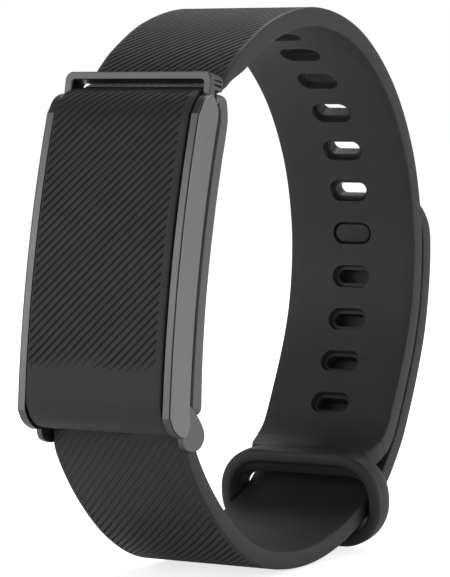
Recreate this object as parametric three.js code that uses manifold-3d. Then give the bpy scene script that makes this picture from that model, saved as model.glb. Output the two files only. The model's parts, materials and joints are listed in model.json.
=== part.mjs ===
// Screenless fitness tracker on a ribbed elastomer band, shown fastened.
// Units mm. +Z up, -Y is the face, X runs across the strap. Z = 0 is the lowest point of the band.
import * as THREE from 'three';
import { mergeVertices } from 'three/addons/utils/BufferGeometryUtils.js';
import Module from 'manifold-3d';

const wasm = await Module();
wasm.setup();

// ---- driving dimensions -------------------------------------------------------------------
const STRAP_W = 17.6;        // width of both straps
const T_UPPER = 2.3;         // thickness of the strap with the holes
const T_LOWER = 2.1;         // thickness of the strap that carries the stud
const LAYER_GAP = 0.3;       // air between the two layers where they overlap
const LINK_GAP = 0.3;        // slit between two links of one strap

const HOLES = 11;
const HOLE_PITCH = 5.68;
const HOLE_L = 4.3;          // through slot, across the strap
const HOLE_H = 1.7;
const RECESS_L = 5.1;        // shallow seat on the skin side
const RECESS_H = 2.5;
const RECESS_D = 0.7;
const FIRST_HOLE_S = 34.13;  // along the strap from its spring bar
const STUD_HOLE = 7;         // the hole the stud sits in

const POD_TILT = 10.5;       // the face leans back at its top
const FACE_Y = -30.97;       // middle of the rails' front ridge
const FACE_Z = 36.9;
const R_RIDGE = 135.8;       // the face is arched along its length
const R_RAIL_BACK = 131.6;
const RAIL_OUT = 10.0;       // half the width over the rails
const RAIL_IN = 8.95;        // half the width between them
const RAIL_TOP = 17.2;
const RAIL_BOTTOM = -16.1;
const TIP_TOP = [[1.45, 17.85], [1.83, 18.57], [2.47, 19.24], [3.3, 19.66], [3.85, 19.62],
  [4.47, 19.16], [5.1, 18.4]];   // rounded points of the side facet
const TIP_BOTTOM = [[5.45, -16.9], [5.2, -17.65], [4.75, -18.17], [4.17, -18.33], [3.2, -18.15],
  [2.4, -17.8], [1.75, -17.3], [1.25, -16.75]];

const EAR = [7.8, -17.5];    // lower spring bar, in the pod's own frame (depth, height)
const EAR_R = 1.75;
const BAR_R = 0.55;
const SLEEVE_R = 1.35;

const PIN_Z = [13.2, -12.0];
const R_PIN = 133.4;         // rail pins, on an arc inside the rails

const PAD_HW = 8.75;
const PAD_T = 1.95;
const PAD_FRONT = 136.05;       // stands a little proud of the rails
const LOOP_Z = 20.15;        // middle height of the top loop
const PIN = [4.9, 19.85];    // pin inside the loop, shared by the face pad and the holed strap
const BARREL_R = 0.8;
const KNUCKLE = 4.2;         // half the length of the pad's knuckle on that pin

const POD_HW = 8.8;
const POD_TOP = 17.0;
const POD_BOTTOM = -14.8;
const R_LID = 132.3;
const R_POD_BACK = 126.2;
const WALL = 0.9;

const KEEPER_C = [15.95, 6.08];
const KEEPER_TILT = -83;     // direction from the wrist outward through the loop
const KEEPER_IN = [9.95, 4.6];
const KEEPER_OUT = [11.2, 5.85];
const KEEPER_DEPTH = 4.0;

// ---- materials ----------------------------------------------------------------------------
const mat = (name, colour, roughness, metalness = 0) => {
  const m = new THREE.MeshStandardMaterial({ color: colour, roughness, metalness });
  m.name = name;
  return m;
};
const RUBBER = mat('elastomer', 0x303030, 0.62);
const PAD = mat('ribbed_elastomer', 0x373737, 0.6);
const GUNMETAL = mat('gunmetal', 0x6e6e70, 0.34, 0.9);
const STEEL = mat('steel', 0x8c8f93, 0.3, 1.0);
const CASE = mat('case_polymer', 0x1d1e20, 0.45);
const SEAL = mat('seal', 0x121212, 0.8);
const BOARD = mat('board', 0x124a2c, 0.55);
const CELL = mat('cell_pouch', 0x9aa0a4, 0.4, 0.5);
const CHIP = mat('chip', 0x161616, 0.5);
const GOLD = mat('contact', 0xc9a552, 0.3, 1.0);
const WINDOW = mat('window', 0x050608, 0.08);
const LED = mat('led', 0xd7e6c8, 0.3);

// ---- small helpers ------------------------------------------------------------------------
const rad = THREE.MathUtils.degToRad;
const along = new THREE.Matrix4().set(0, 0, 1, 0, 1, 0, 0, 0, 0, 1, 0, 0, 0, 0, 0, 1);

function solid(geometry) {
  const g = geometry.clone();
  g.deleteAttribute('normal');
  g.deleteAttribute('uv');
  const m = mergeVertices(g, 1e-4);
  return new wasm.Manifold(new wasm.Mesh({
    numProp: 3,
    vertProperties: new Float32Array(m.attributes.position.array),
    triVerts: new Uint32Array(m.index.array),
  }));
}

function geometryOf(manifold) {
  const m = manifold.getMesh();
  const g = new THREE.BufferGeometry();
  g.setAttribute('position', new THREE.BufferAttribute(new Float32Array(m.vertProperties), 3));
  g.setIndex(new THREE.BufferAttribute(new Uint32Array(m.triVerts), 1));
  g.computeVertexNormals();
  return g;
}

// a profile drawn in (depth, height) pulled across the strap from x0 to x1
function across(points, x0, x1) {
  const shape = new THREE.Shape(points.map(([a, b]) => new THREE.Vector2(a, b)));
  const g = new THREE.ExtrudeGeometry(shape, { depth: x1 - x0, bevelEnabled: false });
  g.translate(0, 0, x0);
  g.applyMatrix4(along);
  return solid(g);
}

function box(x0, x1, y0, y1, z0, z1) {
  const g = new THREE.BoxGeometry(x1 - x0, y1 - y0, z1 - z0);
  g.translate((x0 + x1) / 2, (y0 + y1) / 2, (z0 + z1) / 2);
  return solid(g);
}

function rodX(r, x0, x1, [y, z], n = 20) {
  const g = new THREE.CylinderGeometry(r, r, x1 - x0, n);
  g.rotateZ(Math.PI / 2);
  g.translate((x0 + x1) / 2, y, z);
  return solid(g);
}

function rodY(r, y0, y1, x, z, n = 16) {
  const g = new THREE.CylinderGeometry(r, r, y1 - y0, n);
  g.translate(x, (y0 + y1) / 2, z);
  return solid(g);
}

// point on an arc of the arched face, at height z in the pod's frame
const onArc = (r, z) => [R_RIDGE - Math.sqrt(r * r - z * z), z];

function arcLine(r, z0, z1, n = 10) {
  return Array.from({ length: n + 1 }, (_, i) => onArc(r, z0 + (z1 - z0) * i / n));
}

// slab between two radii of the arched face
function archedSlab(rFront, rBack, z0, z1, x0, x1, n = 10) {
  return across([...arcLine(rBack, z0, z1, n), ...arcLine(rFront, z1, z0, n)], x0, x1);
}

function roundedRect(w, h, r, n = 6) {
  const pts = [];
  for (const [sx, sy, a0] of [[1, 1, 0], [-1, 1, 90], [-1, -1, 180], [1, -1, 270]]) {
    for (let i = 0; i <= n; i += 1) {
      const a = rad(a0 + 90 * i / n);
      pts.push([sx * (w - r) + r * Math.cos(a), sy * (h - r) + r * Math.sin(a)]);
    }
  }
  return pts;
}

// prism of a closed outline along +Z, then placed with its own X kept and +Z turned to `angle`
// (degrees from +Y toward +Z) in the strap's plane
function prismAt(points, d0, d1, centre, angle) {
  const shape = new THREE.Shape(points.map(([a, b]) => new THREE.Vector2(a, b)));
  const g = new THREE.ExtrudeGeometry(shape, { depth: d1 - d0, bevelEnabled: false });
  g.translate(0, 0, d0);
  g.rotateX(rad(angle - 90));
  g.translate(0, centre[0], centre[1]);
  return solid(g);
}

// ---- strap paths (centre lines, in (depth, height)) ----------------------------------------
const v2 = ([a, b]) => new THREE.Vector2(a, b);
const cosT = Math.cos(rad(-POD_TILT));
const sinT = Math.sin(rad(-POD_TILT));
const podToBand = ([a, b]) => [FACE_Y + a * cosT - b * sinT, FACE_Z + a * sinT + b * cosT];

const upperBar = podToBand(PIN);
const lowerBar = podToBand(EAR);

const upperPath = new THREE.SplineCurve([
  upperBar, [-19.55, 56.45], [-16.65, 58.4], [-8.05, 62.8], [2.25, 64.6], [12.55, 62.4], [20.95, 56.4],
  [26.35, 48.3], [28.75, 39.5], [28.65, 31.4], [26.85, 24.3], [23.15, 16.5], [20.95, 13.0],
  [17.9, 11.1], [15.6, 10.65],
].map(v2));

const UPPER_N = 96;
const upperPts = upperPath.getSpacedPoints(UPPER_N);
const UPPER_LEN = upperPath.getLength();

function frameAt(path, u) {
  const p = path.getPointAt(u);
  const t = path.getTangentAt(u);
  return { p: [p.x, p.y], t: [t.x, t.y], n: [-t.y, t.x] };
}
const shift = ([a, b], [c, d], k) => [a + c * k, b + d * k];

// where the tail lies on the outside of the holed strap
const outward = T_UPPER / 2 + LAYER_GAP + T_LOWER / 2;
const upperU = (s) => s / UPPER_LEN;
const studS = FIRST_HOLE_S + (STUD_HOLE - 1) * HOLE_PITCH;
const TAIL_TIP_S = studS - 4.55;
const tailPoint = (s) => {
  const f = frameAt(upperPath, upperU(s));
  return shift(f.p, f.n, outward);
};

const lowerPath = new THREE.SplineCurve([
  lowerBar, [-26.1, 15.5], [-22.15, 10.3], [-16.65, 5.5], [-10.45, 2.35], [-3.95, 1.17],
  [2.35, 1.22], [8.3, 2.35], [13.15, 4.1], [16.85, 5.8], [20.45, 8.7], [23.45, 12.2],
  ...[28, 22, 16, 10, 5, 0].map((k) => tailPoint(TAIL_TIP_S + k)),
].map(v2));

// solid band between two stations of a path; top and under give its surfaces' offsets from the
// centre line at a distance s along it
function band(path, s0, s1, top, under, hw, n) {
  const len = path.getLength();
  const a = [];
  const b = [];
  for (let i = 0; i <= n; i += 1) {
    const s = s0 + (s1 - s0) * i / n;
    const f = frameAt(path, s / len);
    a.push(shift(f.p, f.n, top(s)));
    b.push(shift(f.p, f.n, -under(s)));
  }
  return across([...a, ...b.reverse()], -hw, hw);
}

// ---- straps -------------------------------------------------------------------------------
const LOWER_LEN = lowerPath.getLength();
const CROWN_S = 0.25 * UPPER_LEN;   // where each strap is hinged in the pose model
const BOTTOM_S = 0.327 * LOWER_LEN;
const TAIL_S = 0.636 * LOWER_LEN;
const ROOT_T = 1.2;                 // the holed strap is thin where it goes into the top loop
const TIP_TAPER = 4.2;

const halfUpper = (s) => {
  const k = Math.min(1, Math.max(0, (s - 3) / 6));
  return (ROOT_T + (T_UPPER - ROOT_T) * k * k * (3 - 2 * k)) / 2;
};
const halfLower = () => T_LOWER / 2;
// the tail thins to a rounded edge on its outer side
const tailOuter = (s) => {
  const d = Math.min(1, Math.max(0, (LOWER_LEN - s) / TIP_TAPER));
  return T_LOWER * (Math.sqrt(1 - (1 - d) * (1 - d)) * 0.85 + 0.15) - T_LOWER / 2;
};

// one link ends in a round knuckle on the hinge line, its neighbour in a hollow round it
const hingePoint = (path, s) => frameAt(path, s / path.getLength()).p;
const knuckle = (path, s, t) => rodX(t / 2, -STRAP_W / 2, STRAP_W / 2, hingePoint(path, s), 28);
const hollow = (path, s, t) => rodX(t / 2 + LINK_GAP / 2, -10, 10, hingePoint(path, s), 28);

function slotTool(length, height, d0, d1, f) {
  const pts = roundedRect(length / 2, height / 2, height / 2 - 0.01, 5);
  const angle = THREE.MathUtils.radToDeg(Math.atan2(f.n[1], f.n[0]));
  return prismAt(pts, d0, d1, f.p, angle);
}

function upperLinkA() {
  const strap = band(upperPath, 0, CROWN_S - 0.4, halfUpper, halfUpper, STRAP_W / 2, 24);
  const ends = rodX(BARREL_R, -8.2, 8.2, upperBar, 24);
  const loopSlot = box(-10, -8.2, -30, upperBar[0] + 2.4, 50, 60)
    .add(box(8.2, 10, -30, upperBar[0] + 2.4, 50, 60));
  const padSlot = box(-KNUCKLE - 0.2, KNUCKLE + 0.2, -30, upperBar[0] + BARREL_R + 0.25, 50, 60);
  return strap.add(ends).subtract(loopSlot).subtract(padSlot)
    .subtract(rodX(0.42, -9, 9, upperBar, 14)).subtract(hollow(upperPath, CROWN_S, T_UPPER));
}

function keeperRing() {
  const outer = roundedRect(KEEPER_OUT[0], KEEPER_OUT[1], 5.5, 8);
  const mid = roundedRect(KEEPER_OUT[0] - 0.4, KEEPER_OUT[1] - 0.4, 5.1, 8);
  const hole = roundedRect(KEEPER_IN[0], KEEPER_IN[1], 4.4, 8);
  const h = KEEPER_DEPTH / 2;
  const dir = KEEPER_TILT + 90;
  const body = prismAt(mid, -h, h, KEEPER_C, dir)
    .add(prismAt(outer, -h + 0.4, h - 1.5, KEEPER_C, dir));
  return body.subtract(prismAt(hole, -h - 1, h + 1, KEEPER_C, dir));
}

function upperLinkB() {
  let strap = band(upperPath, CROWN_S, UPPER_LEN, halfUpper, halfUpper, STRAP_W / 2, 72);
  strap = strap.add(knuckle(upperPath, CROWN_S, T_UPPER));
  for (let i = 0; i < HOLES; i += 1) {
    const f = frameAt(upperPath, upperU(FIRST_HOLE_S + i * HOLE_PITCH));
    strap = strap.subtract(slotTool(HOLE_L, HOLE_H, -2, 2, f));
    strap = strap.subtract(slotTool(RECESS_L, RECESS_H, -2, -T_UPPER / 2 + RECESS_D, f));
  }
  const h = KEEPER_DEPTH / 2;
  const bore = roundedRect(KEEPER_IN[0], KEEPER_IN[1], 4.4, 8);
  strap = strap.subtract(prismAt(bore, -h - 1, h + 0.6, KEEPER_C, KEEPER_TILT + 90));
  return strap.add(keeperRing());
}

function lowerLinkA() {
  const strap = band(lowerPath, 0.2, BOTTOM_S - 0.4, halfLower, halfLower, STRAP_W / 2, 20);
  return strap.add(rodX(SLEEVE_R, -STRAP_W / 2 + 0.3, STRAP_W / 2 - 0.3, lowerBar, 24))
    .subtract(rodX(0.85, -9, 9, lowerBar)).subtract(hollow(lowerPath, BOTTOM_S, T_LOWER));
}

function lowerLinkB() {
  const strap = band(lowerPath, BOTTOM_S, TAIL_S - 0.4, halfLower, halfLower, STRAP_W / 2, 24);
  return strap.add(knuckle(lowerPath, BOTTOM_S, T_LOWER))
    .subtract(hollow(lowerPath, TAIL_S, T_LOWER));
}

function tail() {
  // the path's normal points at the wrist here, so the outer side is the under side
  const strap = band(lowerPath, TAIL_S, LOWER_LEN, halfLower, tailOuter, STRAP_W / 2, 34);
  return strap.add(knuckle(lowerPath, TAIL_S, T_LOWER));
}

function stud() {
  const f = frameAt(upperPath, upperU(studS));
  const top = T_UPPER / 2 + LAYER_GAP - 0.1;
  const neck = slotTool(HOLE_L - 0.5, HOLE_H - 0.5, -T_UPPER / 2 + 0.5, top, f);
  const head = slotTool(RECESS_L - 0.4, RECESS_H - 0.4, -T_UPPER / 2 + 0.08, -T_UPPER / 2 + 0.58, f);
  return neck.add(head);
}

// ---- spring bars --------------------------------------------------------------------------
const barTube = (centre) => rodX(BAR_R, -7.2, 7.2, centre)
  .subtract(rodX(0.34, -7.3, -4.6, centre).add(rodX(0.34, 4.6, 7.3, centre)));
const barTip = (centre, side) => (side > 0
  ? rodX(0.26, 5.6, 9.5, centre, 14)
  : rodX(0.26, -9.5, -5.6, centre, 14));

// ---- cradle (pod frame) -------------------------------------------------------------------
function railProfile(inset = 0) {
  const front = arcLine(R_RIDGE - inset, RAIL_BOTTOM, RAIL_TOP, 12);
  const back = arcLine(R_RAIL_BACK + inset, RAIL_TOP + 0.2, RAIL_BOTTOM - 0.2, 12);
  return [...front, ...TIP_TOP, ...back, ...TIP_BOTTOM];
}

// side rail: a leaf-shaped bar whose ends come to a rounded point, with an ear for the lower
// spring bar and a lug for the upper one
function rail(side) {
  const x = (a, b) => (side > 0 ? [a, b] : [-b, -a]);
  const [i0, i1] = x(RAIL_IN, RAIL_OUT);
  let body = across([...railProfile()].reverse(), i0, i1);
  const [e0, e1] = x(RAIL_IN, RAIL_OUT - 0.25);
  const earPts = [];
  for (let i = 0; i <= 14; i += 1) {
    const a = rad(-120 + 160 * i / 14);
    earPts.push([EAR[0] + EAR_R * Math.cos(a), EAR[1] + EAR_R * Math.sin(a)]);
  }
  body = body.add(across([[3.6, -13.5], [3.6, -17.3], [4.69, -18.43], [6.0, -18.95], ...earPts,
    [8.06, -15.6], [7.0, -14.4], [5.2, -12.8]].reverse(), e0, e1));
  body = body.subtract(rodX(0.4, side > 0 ? 8 : -9.6, side > 0 ? 9.6 : -8, EAR, 14));
  for (const z of PIN_Z) {
    const [p0, p1] = x(RAIL_IN - 1, RAIL_IN + 0.6);
    body = body.subtract(rodX(0.42, p0, p1, onArc(R_PIN, z), 12));
  }
  const [n0, n1] = x(RAIL_IN - 0.1, 9.65);
  return body.subtract(box(n0, n1, 3.4, 6.4, 17.9, 23));
}

// thin arched plate between the rails, with four bosses the rails are pinned to
function carrier() {
  let body = archedSlab(133.5, 132.8, -15.0, 16.6, -8.8, 8.8, 12);
  for (const side of [-1, 1]) {
    for (const z of PIN_Z) {
      const c = onArc(R_PIN, z);
      const [a, b] = side > 0 ? [8.05, 8.8] : [-8.8, -8.05];
      body = body.add(box(a, b, c[0] - 0.55, c[0] + 0.45, z - 1.4, z + 1.4));
      body = body.subtract(rodX(0.42, a - 1, b + 1, c, 12));
    }
  }
  return body;
}

const railPin = (side, z) => rodX(0.34, side > 0 ? 8.15 : -9.45, side > 0 ? 9.45 : -8.15,
  onArc(R_PIN, z), 12);

// upright rectangular ring on top of the rails that the ribbed band runs through
function topLoop() {
  const frame = roundedRect(9.6, 2.1, 0.9, 5);
  const window = roundedRect(8.7, 1.2, 0.5, 5);
  const g = (pts, d) => {
    const shape = new THREE.Shape(pts.map(([a, b]) => new THREE.Vector2(a, b)));
    const e = new THREE.ExtrudeGeometry(shape, { depth: d, bevelEnabled: false });
    e.rotateX(Math.PI / 2);
    return e;
  };
  const outer = g(frame, 2.7);
  outer.translate(0, 6.25, LOOP_Z);
  const inner = g(window, 4);
  inner.translate(0, 6.9, LOOP_Z);
  return solid(outer).subtract(solid(inner)).subtract(rodX(0.42, -10, 10, PIN, 12));
}

// ---- face pad -----------------------------------------------------------------------------
// ribbed flap: arched between the rails, turned back at the top round its pin, turned under at
// the bottom
function facePad() {
  const front = arcLine(PAD_FRONT, -14.2, 16.9, 14);
  const back = arcLine(PAD_FRONT - PAD_T, 17.0, -14.0, 14);
  const barrel = [];
  for (let i = 0; i <= 10; i += 1) {
    const a = rad(125 - 250 * i / 10);
    barrel.push([PIN[0] + BARREL_R * Math.cos(a), PIN[1] + BARREL_R * Math.sin(a)]);
  }
  const top = [[1.2, 17.9], [1.75, 18.85], [2.5, 19.6], [3.3, 20.15], [4.0, 20.45]];
  const underTop = [[4.1, 19.35], [3.45, 18.95], [3.05, 18.0]];
  const lip = [[2.6, -15.1], [3.05, -16.1], [3.7, -16.75], [4.6, -16.9], [4.6, -18.1]];
  for (let i = 0; i <= 7; i += 1) {
    const a = rad(268 - 84 * i / 7);
    lip.push([4.4 + 3.9 * Math.cos(a), -14.2 + 3.9 * Math.sin(a)]);
  }
  const body = across([...front, ...top, ...barrel, ...underTop, ...back, ...lip],
    -PAD_HW, PAD_HW);
  const waist = box(-10, -8.2, 2.6, 8, 17.6, 23).add(box(8.2, 10, 2.6, 8, 17.6, 23));
  const beside = box(-9, -KNUCKLE, 3.85, 8, 17.6, 23).add(box(KNUCKLE, 9, 3.85, 8, 17.6, 23));
  return body.subtract(waist).subtract(beside).subtract(rodX(0.42, -9, 9, PIN, 14));
}

const padPlate = () => archedSlab(134.0, 133.6, -13.4, 15.2, -7.9, 7.9, 12);
const latchHook = () => box(-3, 3, 4.05, 4.75, -16.68, -16.38);
const latchBar = () => rodX(0.4, -8.9, 8.9, [4.3, -15.95], 16);

// ---- sensor pod ---------------------------------------------------------------------------
// the case reaches up behind the top loop
const SHOULDER = [[6.75, 16.4], [10.4, 16.4], [10.4, 17.6], [10.05, 18.6], [9.4, 19.5],
  [8.6, 20.1], [7.6, 20.1], [6.75, 19.5]];
const CORNERS = [[-6.3, 14.9], [6.3, 14.9], [-6.3, -12.7], [6.3, -12.7]];
const CONTACT_X = 3.5;
const CONTACT_Z = -10.5;

function podLid() {
  let body = archedSlab(R_LID, R_LID - 0.8, POD_BOTTOM, POD_TOP, -POD_HW, POD_HW, 12);
  for (const [x, z] of CORNERS) {
    const y = onArc(R_LID, z)[0];
    body = body.subtract(rodY(0.5, y - 1, y + 2, x, z));
    body = body.subtract(rodY(0.95, y - 1, y + 0.52, x, z));
  }
  return body;
}

function podTray() {
  let body = archedSlab(R_LID - 0.9, R_POD_BACK, POD_BOTTOM, POD_TOP, -POD_HW, POD_HW, 12);
  const k = WALL;
  body = body.subtract(archedSlab(R_LID + 1, R_POD_BACK + k, POD_BOTTOM + k, POD_TOP - k,
    -POD_HW + k, POD_HW - k, 12));
  body = body.add(across(SHOULDER, -POD_HW, POD_HW));
  for (const [x, z] of CORNERS) {
    body = body.add(rodY(0.95, 5.9, onArc(R_POD_BACK + 0.4, z)[0], x, z));
    body = body.subtract(rodY(0.46, 5.5, 7.5, x, z));
  }
  body = body.subtract(box(-4.3, 4.3, 7, 12, -4.8, 6.8));
  for (const x of [-CONTACT_X, CONTACT_X]) {
    body = body.subtract(rodY(0.88, 7, 12, x, CONTACT_Z));
  }
  return body;
}

function caseSeal() {
  const k = WALL + 0.1;
  const ring = archedSlab(R_LID - 0.9, R_LID - 1.3, POD_BOTTOM + k, POD_TOP - k,
    -POD_HW + k, POD_HW - k, 12);
  return ring.subtract(box(-7.15, 7.15, 3, 8, POD_BOTTOM + k + 0.5, POD_TOP - k - 0.5));
}

function caseScrew([x, z]) {
  const y = onArc(R_LID, z)[0];
  return rodY(0.84, y + 0.12, y + 0.47, x, z, 18).add(rodY(0.4, y + 0.4, y + 2.8, x, z, 12));
}

const cell = () => box(-6.6, 6.6, 5.2, 6.7, -1.0, 13.6);
const mainBoard = () => box(-7.2, 7.2, 7.0, 7.4, -11.4, 13.4);
const haptic = () => rodY(3.4, 5.0, 6.6, 2.6, -7.4, 28);
const contact = (x) => rodY(0.8, 7.6, 10.1, x, CONTACT_Z);
const LED_X = [-2.2, 0, 2.2];
const DIODE_Z = [-2.6, 4.6];

function baffle() {
  let body = box(-4.1, 4.1, 7.5, 8.2, -4.5, 6.5);
  for (const x of LED_X) {
    body = body.subtract(box(x - 0.7, x + 0.7, 7, 9, 0.3, 1.7));
  }
  for (const z of DIODE_Z) {
    body = body.subtract(box(-1.5, 1.5, 7, 9, z - 1.2, z + 1.2));
  }
  return body;
}

function opticalWindow() {
  const g = new THREE.ExtrudeGeometry(
    new THREE.Shape(roundedRect(4.1, 5.6, 1.0, 5).map(([a, b]) => new THREE.Vector2(a, b))),
    { depth: 1.2, bevelEnabled: false },
  );
  g.rotateX(Math.PI / 2);
  g.translate(0, 9.95, 1.0);
  return solid(g);
}

// ---- assembly -----------------------------------------------------------------------------
const group = new THREE.Group();
group.name = 'fitness_tracker_band';

function put(name, manifold, material, inPod = false) {
  const g = geometryOf(manifold);
  if (inPod) {
    g.rotateX(rad(-POD_TILT));
    g.translate(0, FACE_Y, FACE_Z);
  }
  const mesh = new THREE.Mesh(g, material);
  mesh.name = name;
  group.add(mesh);
}
const pod = (name, manifold, material) => put(name, manifold, material, true);

for (const [side, word] of [[-1, 'left'], [1, 'right']]) {
  pod(`rail_${word}`, rail(side), GUNMETAL);
  pod(`rail_pin_${word}_top`, railPin(side, PIN_Z[0]), STEEL);
  pod(`rail_pin_${word}_bottom`, railPin(side, PIN_Z[1]), STEEL);
  put(`lower_bar_tip_${word}`, barTip(lowerBar, side), STEEL);
}
pod('carrier_plate', carrier(), GUNMETAL);
pod('top_loop', topLoop(), GUNMETAL);
pod('latch_bar', latchBar(), STEEL);
pod('flap_pin', rodX(0.34, -9.2, 9.2, PIN, 14), STEEL);
pod('face_pad', facePad(), PAD);
pod('pad_plate', padPlate(), STEEL);
pod('latch_hook', latchHook(), GUNMETAL);

pod('pod_lid', podLid(), CASE);
pod('pod_tray', podTray(), CASE);
pod('case_seal', caseSeal(), SEAL);
CORNERS.forEach((c, i) => pod(`case_screw_${i + 1}`, caseScrew(c), STEEL));
pod('battery_cell', cell(), CELL);
pod('main_board', mainBoard(), BOARD);
pod('processor', box(-3.2, 0.8, 7.42, 8.0, 8.6, 11.8), CHIP);
pod('motion_sensor', box(-1.2, 1.2, 7.42, 8.0, -9.4, -7.2), CHIP);
pod('haptic_motor', haptic(), STEEL);
pod('antenna', box(-4.9, 4.9, 6.0, 6.3, 14.1, 15.7), GOLD);
pod('light_baffle', baffle(), SEAL);
LED_X.forEach((x, i) => pod(`led_${i + 1}`, box(x - 0.5, x + 0.5, 7.42, 7.95, 0.5, 1.5), LED));
DIODE_Z.forEach((z, i) => pod(`photodiode_${i + 1}`,
  box(-1.2, 1.2, 7.42, 7.9, z - 0.9, z + 0.9), CHIP));
pod('optical_window', opticalWindow(), WINDOW);
pod('charge_contact_left', contact(-CONTACT_X), GOLD);
pod('charge_contact_right', contact(CONTACT_X), GOLD);

put('lower_bar_tube', barTube(lowerBar), STEEL);
put('upper_strap_root', upperLinkA(), RUBBER);
put('upper_strap_holes', upperLinkB(), RUBBER);
put('lower_strap_root', lowerLinkA(), RUBBER);
put('lower_strap_mid', lowerLinkB(), RUBBER);
put('lower_strap_tail', tail(), RUBBER);
put('stud', stud(), RUBBER);

export default group;
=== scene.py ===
# Looks for the fitness tracker band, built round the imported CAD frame. Sizes are in mm inside
# the helpers; meshes are written in metres in the row frame (+Z up, -Y the face, X across).
# Pieces of the cradle and the pod are drawn in the pod's own (depth, height) plane, which leans
# back by TILT.
import json
import math

import bmesh
import bpy
import numpy as np
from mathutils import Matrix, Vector


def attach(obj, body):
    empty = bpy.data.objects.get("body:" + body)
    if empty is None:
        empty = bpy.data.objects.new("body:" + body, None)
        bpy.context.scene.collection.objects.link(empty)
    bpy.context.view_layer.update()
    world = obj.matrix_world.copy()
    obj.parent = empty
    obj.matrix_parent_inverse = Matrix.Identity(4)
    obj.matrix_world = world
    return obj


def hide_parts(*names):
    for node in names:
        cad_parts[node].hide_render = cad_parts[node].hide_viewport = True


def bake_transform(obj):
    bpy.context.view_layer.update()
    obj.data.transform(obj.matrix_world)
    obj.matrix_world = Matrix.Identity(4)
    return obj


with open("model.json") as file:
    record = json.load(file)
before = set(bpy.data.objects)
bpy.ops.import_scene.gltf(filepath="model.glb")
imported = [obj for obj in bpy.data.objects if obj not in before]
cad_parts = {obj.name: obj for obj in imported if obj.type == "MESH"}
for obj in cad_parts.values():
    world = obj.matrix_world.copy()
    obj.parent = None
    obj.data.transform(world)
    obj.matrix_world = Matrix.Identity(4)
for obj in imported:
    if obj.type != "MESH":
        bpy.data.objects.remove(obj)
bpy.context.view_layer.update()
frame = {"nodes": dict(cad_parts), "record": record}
MM = 0.001
SIDES = ((1, "right"), (-1, "left"))

# ---- sizes shared with the CAD -----------------------------------------------------------
STRAP_HW = 8.8                            # half the straps' width
T_UPPER, T_LOWER, LAYER_GAP = 2.3, 2.1, 0.3
HOLES, HOLE_PITCH, FIRST_HOLE, STUD_HOLE = 11, 5.68, 34.13, 7
HOLE_L, HOLE_H = 4.3, 1.7
RECESS_L, RECESS_H, RECESS_D = 5.1, 2.5, 0.7
TILT = math.radians(10.5)
FACE_Y, FACE_Z = -30.97, 36.9             # the pod plane's origin in the row frame
R_RIDGE = 135.8                           # every arc of the pod shares this one's centre
R_LEAF_BACK = 131.6
R_PAD = 135.4
R_POD_FRONT, R_POD_BACK = 131.35, 126.2
EAR, PIN = (7.8, -17.5), (4.9, 19.85)     # (depth, height) of the two bars
KEEPER_C, KEEPER_TILT = (15.35, 6.0), -83.0
CONTACT_X, CONTACT_Z, CONTACT_R = 3.5, -10.5, 1.0


# ---- materials ---------------------------------------------------------------------------
FINE_DETAIL, BROAD_DETAIL = 4.0, 2.0
BROAD_SCALE = 0.12                        # of the fine grain's scale
BUMP_DISTANCE = 0.0001


def make_mat(name, base, rough, metal=0.0, grain=900.0, tint=0.12, rough_var=0.08, bump=0.03,
             stretch=(1, 1, 1), coat=0.0, spec=0.5):
    """Broad noise varies the colour, and fine noise the roughness and the bump."""
    m = bpy.data.materials.new(name)
    m.use_nodes = True
    nodes, link = m.node_tree.nodes, m.node_tree.links.new
    shader = nodes["Principled BSDF"]
    shader.inputs["Metallic"].default_value = metal
    shader.inputs["Coat Weight"].default_value = coat
    shader.inputs["Specular IOR Level"].default_value = spec
    coords = nodes.new("ShaderNodeTexCoord")
    mapping = nodes.new("ShaderNodeMapping")
    mapping.inputs["Scale"].default_value = stretch
    link(coords.outputs["Object"], mapping.inputs["Vector"])

    def noise(scale, detail):
        node = nodes.new("ShaderNodeTexNoise")
        node.inputs["Scale"].default_value = scale
        node.inputs["Detail"].default_value = detail
        link(mapping.outputs["Vector"], node.inputs["Vector"])
        return node.outputs["Fac"]

    fine = noise(grain, FINE_DETAIL)
    broad = noise(grain * BROAD_SCALE, BROAD_DETAIL)
    colour = nodes.new("ShaderNodeMix")
    colour.data_type = "RGBA"
    colour.inputs[6].default_value = (*[max(0.0, c * (1 - tint)) for c in base], 1)
    colour.inputs[7].default_value = (*[min(1.0, c * (1 + tint)) for c in base], 1)
    link(broad, colour.inputs[0])
    link(colour.outputs[2], shader.inputs["Base Color"])
    roughness = nodes.new("ShaderNodeMapRange")
    roughness.inputs["To Min"].default_value = max(0.02, rough - rough_var)
    roughness.inputs["To Max"].default_value = min(1.0, rough + rough_var)
    link(fine, roughness.inputs["Value"])
    link(roughness.outputs["Result"], shader.inputs["Roughness"])
    if bump:
        relief = nodes.new("ShaderNodeBump")
        relief.inputs["Strength"].default_value = bump
        relief.inputs["Distance"].default_value = BUMP_DISTANCE
        link(fine, relief.inputs["Height"])
        link(relief.outputs["Normal"], shader.inputs["Normal"])
    return m


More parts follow.
